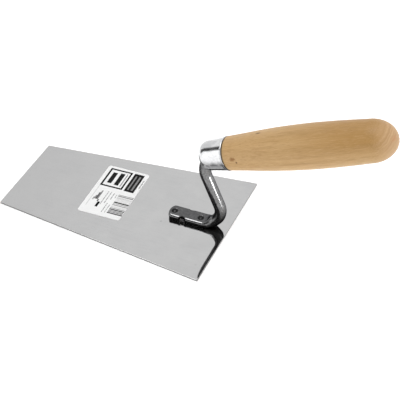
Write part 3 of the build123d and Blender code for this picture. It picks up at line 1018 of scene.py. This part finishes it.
# --------------------------------------------------------------------------
# floor, world, lights
def make_floor():
    bm = bmesh.new()
    bmesh.ops.create_grid(bm, x_segments=2, y_segments=2, size=4.0)
    me = bpy.data.meshes.new("floor")
    bm.to_mesh(me)
    bm.free()
    ob = bpy.data.objects.new("floor", me)
    ob.location = (0, 0, -0.0004)
    scene.collection.objects.link(ob)
    m = Mat("floor_pale")
    v = m.coords()
    n = m.noise(v, 0.01, 2.0)
    m.put(m.b.inputs["Base Color"], m.mix(n, (0.86, 0.86, 0.86), (0.88, 0.88, 0.88)))
    m.b.inputs["Roughness"].default_value = 0.9
    m.b.inputs["Specular IOR Level"].default_value = 0.0
    m.b.inputs["Emission Color"].default_value = (1, 1, 1, 1)
    m.b.inputs["Emission Strength"].default_value = 0.35
    me.materials.append(m.m)


def make_world():
    w = bpy.data.worlds.new("studio")
    scene.world = w
    w.use_nodes = True
    t = w.node_tree
    t.nodes.clear()
    out = t.nodes.new("ShaderNodeOutputWorld")
    bg = t.nodes.new("ShaderNodeBackground")
    t.links.new(bg.outputs[0], out.inputs[0])
    tc = t.nodes.new("ShaderNodeTexCoord")
    direction = tc.outputs["Generated"]

    def mth(op, a, b=None):
        k = t.nodes.new("ShaderNodeMath")
        k.operation = op
        for i, v in enumerate((a, b)):
            if v is None:
                continue
            if isinstance(v, bpy.types.NodeSocket):
                t.links.new(v, k.inputs[i])
            else:
                k.inputs[i].default_value = v
        return k.outputs[0]

    def lobe(d, inner, outer):
        d = Vector(d).normalized()
        k = t.nodes.new("ShaderNodeVectorMath")
        k.operation = "DOT_PRODUCT"
        t.links.new(direction, k.inputs[0])
        k.inputs[1].default_value = d
        r = t.nodes.new("ShaderNodeMapRange")
        r.interpolation_type = "SMOOTHSTEP"
        t.links.new(k.outputs["Value"], r.inputs["Value"])
        r.inputs["From Min"].default_value = math.cos(math.radians(outer))
        r.inputs["From Max"].default_value = math.cos(math.radians(inner))
        return r.outputs["Result"]

    def plane_band(wv, half, soft):
        """1 inside a band of half angle half about the great circle square to wv."""
        k = t.nodes.new("ShaderNodeVectorMath")
        k.operation = "DOT_PRODUCT"
        t.links.new(direction, k.inputs[0])
        k.inputs[1].default_value = Vector(wv).normalized()
        a = mth("ABSOLUTE", k.outputs["Value"])
        r = t.nodes.new("ShaderNodeMapRange")
        r.interpolation_type = "SMOOTHSTEP"
        t.links.new(a, r.inputs["Value"])
        r.inputs["From Min"].default_value = math.sin(math.radians(half + soft))
        r.inputs["From Max"].default_value = math.sin(math.radians(half))
        return r.outputs["Result"]

    level = 1.0
    total = mth("ADD", 0.0, level)
    # low soft box, front left
    total = mth("ADD", total, mth("MULTIPLY", lobe((-0.68, -0.69, 0.22), 16, 30), 0.5))
    # dark camera side of the room
    dark = lobe((-0.22, -0.72, 0.66), 20, 31)
    total = mth("MULTIPLY", total, mth("SUBTRACT", 1.0, mth("MULTIPLY", dark, 0.93)))
    # narrow dark gap between the back wall and the front box
    rs = Vector((-0.802, -0.217, 0.556)).normalized()
    across = Vector((AX[0], AX[1], AX[2])).cross(rs).normalized()
    gap = mth("MULTIPLY", plane_band(across, 7.5, 5.5), lobe(rs, 22, 36))
    total = mth("MULTIPLY", total, mth("SUBTRACT", 1.0, mth("MULTIPLY", gap, 0.95)))
    # overhead strip, seen by the rounded upper edges of the tang's foot
    over = mth("MULTIPLY", plane_band((0.94, -0.03, 0.34), 6.5, 4.5), lobe((-0.315, -0.06, 0.947), 19, 27))
    total = mth("ADD", total, mth("MULTIPLY", over, 4.8))
    t.links.new(total, bg.inputs["Strength"])
    bg.inputs["Color"].default_value = (1, 1, 1, 1)


def area(name, loc, target, size, size_y, power, spread=180.0):
    d = bpy.data.lights.new(name, "AREA")
    d.shape = "RECTANGLE"
    d.size, d.size_y, d.energy = size, size_y, power
    d.spread = math.radians(spread)
    o = bpy.data.objects.new(name, d)
    o.location = loc
    o.rotation_mode = "QUATERNION"
    if target is not None:
        o.rotation_quaternion = (Vector(target) - Vector(loc)).to_track_quat("-Z", "Y")
    o.visible_camera = False
    scene.collection.objects.link(o)
    return o


make_floor()
make_world()
# small low panel under the handle end, seen by the neck as one bright line
area("strip_right", (0.325, -0.05, 0.024), (0.08, 0.0, 0.035), 0.066, 0.046, 0.021, 60.0)
area("box_right", (0.95, -0.22, 0.34), (0.2, 0.0, 0.11), 0.3, 0.3, 0.22)
scene.view_settings.view_transform = "Standard"
scene.view_settings.look = "None"
